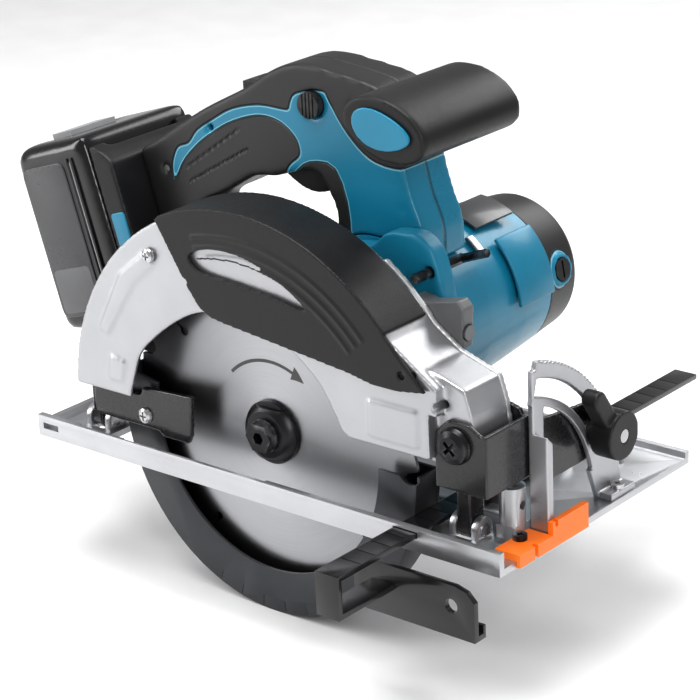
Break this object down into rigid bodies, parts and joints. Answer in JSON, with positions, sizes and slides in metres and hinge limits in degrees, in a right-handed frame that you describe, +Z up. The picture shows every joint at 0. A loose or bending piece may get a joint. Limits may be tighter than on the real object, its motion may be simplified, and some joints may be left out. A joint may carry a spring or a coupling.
{
  "type": "circular saw",
  "caption": "Battery hand circular saw with tilting base, sprung lower blade guard, D-shaped rear grip, front handle, side motor, rip fence and slide-off battery pack.",
  "frame": {"origin": "on the sole, at the foot of the blade's mid-plane below the arbor", "axes": "+X forward along the cut, +Y towards the motor, +Z up from the sole"},
  "size_m": [0.3234, 0.2714, 0.2494],
  "materials": {
    "base_plate": "cast and brushed",
    "bevel_pins": "turned",
    "bevel_quadrant": "cast",
    "quadrant_screws": "zinc",
    "sight_guide": "moulded",
    "sight_screw": "black oxide",
    "fence_clamp_screw": "black oxide",
    "rip_fence": "gloss black",
    "front_angle_plate": "gloss black",
    "depth_pivot_screw": "black oxide",
    "bevel_knob": "moulded",
    "bevel_bolt": "zinc",
    "rear_bracket": "satin black",
    "bracket_screw": "zinc",
    "blade_case": "satin",
    "case_cover": "fine grain",
    "case_screws": "zinc",
    "gear_housing": "cast",
    "spindle_bearing": "ground",
    "motor_housing": "satin",
    "motor_end_cap": "fine grain",
    "brush_caps": "smooth",
    "stator_magnets": "ferrite",
    "motor_bearings": "ground",
    "lamp_block": "moulded",
    "lamp_lens": "clear",
    "hex_key": "black oxide",
    "handle_near": "satin with rubber grip",
    "handle_far": "satin with rubber grip",
    "grip_pads": "soft grain",
    "front_handle": "soft grain",
    "handle_cap_near": "satin",
    "handle_cap_far": "satin",
    "battery_socket": "satin",
    "terminal_block": "bright",
    "switch_body": "plain",
    "handle_screws": "zinc",
    "spindle": "ground",
    "driven_gear": "hobbed",
    "inner_flange": "turned",
    "blade": "radially brushed",
    "outer_flange": "turned",
    "blade_bolt": "black oxide",
    "layshaft": "ground",
    "layshaft_gear": "hobbed",
    "armature_shaft": "ground",
    "armature_core": "laminated",
    "commutator": "copper",
    "cooling_fan": "plain",
    "lower_guard": "satin",
    "guard_lever": "moulded",
    "trigger": "smooth",
    "lock_off": "ribbed",
    "shaft_lock": "smooth",
    "depth_lever": "black",
    "battery_pack": "gloss",
    "battery_rails": "bright",
    "battery_button": "smooth"
  },
  "bodies": {
    "base": {"base_plate": "base_plate", "bevel_pins": "bevel_pins", "bevel_quadrant": "bevel_quadrant", "quadrant_screws": "quadrant_screws", "sight_guide": "sight_guide", "sight_screw": "sight_screw"},
    "clamp_screw": {"fence_clamp_screw": "fence_clamp_screw"},
    "fence": {"rip_fence": "rip_fence"},
    "tilt_front": {"front_angle_plate": "front_angle_plate", "depth_pivot_screw": "depth_pivot_screw", "bevel_bolt": "bevel_bolt"},
    "knob": {"bevel_knob": "bevel_knob"},
    "rear_bracket": {"rear_bracket": "rear_bracket", "bracket_screw": "bracket_screw"},
    "saw": {"blade_case": "blade_case", "case_cover": "case_cover", "case_screws": "case_screws", "gear_housing": "gear_housing", "spindle_bearing": "spindle_bearing", "motor_housing": "motor_housing", "motor_end_cap": "motor_end_cap", "brush_caps": "brush_caps", "stator_magnets": "stator_magnets", "motor_bearings": "motor_bearings", "lamp_block": "lamp_block", "lamp_lens": "lamp_lens", "hex_key": "hex_key", "handle_near": "handle_near", "handle_far": "handle_far", "grip_pads": "grip_pads", "front_handle": "front_handle", "handle_cap_near": "handle_cap_near", "handle_cap_far": "handle_cap_far", "battery_socket": "battery_socket", "terminal_block": "terminal_block", "switch_body": "switch_body", "handle_screws": "handle_screws"},
    "spindle": {"spindle": "spindle", "driven_gear": "driven_gear", "inner_flange": "inner_flange", "blade": "blade", "outer_flange": "outer_flange", "blade_bolt": "blade_bolt"},
    "layshaft": {"layshaft": "layshaft", "layshaft_gear": "layshaft_gear"},
    "armature": {"armature_shaft": "armature_shaft", "armature_core": "armature_core", "commutator": "commutator", "cooling_fan": "cooling_fan"},
    "guard": {"lower_guard": "lower_guard", "guard_lever": "guard_lever"},
    "trigger": {"trigger": "trigger"},
    "lock_off": {"lock_off": "lock_off"},
    "shaft_lock": {"shaft_lock": "shaft_lock"},
    "depth_lever": {"depth_lever": "depth_lever"},
    "battery": {"battery_pack": "battery_pack", "battery_rails": "battery_rails"},
    "battery_button": {"battery_button": "battery_button"}
  },
  "joints": [
    {"name": "bevel", "type": "hinge", "parent": "base", "child": "tilt_front", "pos_m": [0, 0, 0.0065], "axis": [1, 0, 0], "range_deg": [0, 45]},
    {"name": "rear_bevel", "type": "hinge", "parent": "base", "child": "rear_bracket", "pos_m": [0, 0, 0.0065], "axis": [1, 0, 0], "range_deg": [0, 45]},
    {"name": "bevel_knob_turn", "type": "hinge", "parent": "tilt_front", "child": "knob", "pos_m": [0.14, 0.05739, 0.03702], "axis": [1, 0, 0], "range_deg": [-90, 0]},
    {"name": "depth", "type": "hinge", "parent": "tilt_front", "child": "saw", "pos_m": [0.115, 0, 0.05], "axis": [0, 1, 0], "range_deg": [0, 22]},
    {"name": "spindle_spin", "type": "hinge", "parent": "saw", "child": "spindle", "pos_m": [0, 0, 0.0245], "axis": [0, 1, 0], "continuous": true},
    {"name": "layshaft_spin", "type": "hinge", "parent": "saw", "child": "layshaft", "pos_m": [0.01189, 0, 0.04672], "axis": [0, 1, 0], "continuous": true},
    {"name": "armature_spin", "type": "hinge", "parent": "saw", "child": "armature", "pos_m": [0.033, 0, 0.0705], "axis": [0, 1, 0], "continuous": true},
    {"name": "guard_swing", "type": "hinge", "parent": "saw", "child": "guard", "pos_m": [0, 0, 0.0245], "axis": [0, 1, 0], "range_deg": [0, 95], "stiffness_Nm_per_rad": 0.12, "springref_deg": -68.75},
    {"name": "trigger_pull", "type": "slide", "parent": "saw", "child": "trigger", "axis": [0, 0, 1], "range_m": [0, 0.006], "stiffness_N_per_m": 600, "springref_m": -0.002},
    {"name": "lock_off_slide", "type": "slide", "parent": "saw", "child": "lock_off", "axis": [0, 1, 0], "range_m": [-0.002, 0.002], "stiffness_N_per_m": 500},
    {"name": "shaft_lock_press", "type": "slide", "parent": "saw", "child": "shaft_lock", "axis": [1, 0, 0], "range_m": [0, 0.002], "stiffness_N_per_m": 500, "springref_m": -0.001},
    {"name": "depth_lever_turn", "type": "hinge", "parent": "saw", "child": "depth_lever", "pos_m": [-0.0499, 0.03, 0.04424], "axis": [0, 1, 0], "range_deg": [0, 35]},
    {"name": "battery_slide", "type": "slide", "parent": "saw", "child": "battery", "axis": [-0.2924, 0, 0.9563], "range_m": [0, 0.06]},
    {"name": "battery_release", "type": "slide", "parent": "battery", "child": "battery_button", "axis": [0.2924, 0, -0.9563], "range_m": [0, 0.0018], "stiffness_N_per_m": 500, "springref_m": -0.001},
    {"name": "fence_slide", "type": "slide", "parent": "base", "child": "fence", "axis": [0, 1, 0], "range_m": [-0.09, 0.02]},
    {"name": "clamp_screw_turn", "type": "hinge", "parent": "base", "child": "clamp_screw", "pos_m": [0.0927, 0.034, 0.012], "axis": [0, 0, 1], "continuous": true}
  ],
  "couplings": [
    {"joint": "rear_bevel", "follows": "bevel", "ratio": 1},
    {"joint": "layshaft_spin", "follows": "spindle_spin", "ratio": -2},
    {"joint": "armature_spin", "follows": "spindle_spin", "ratio": 8.6}
  ]
}
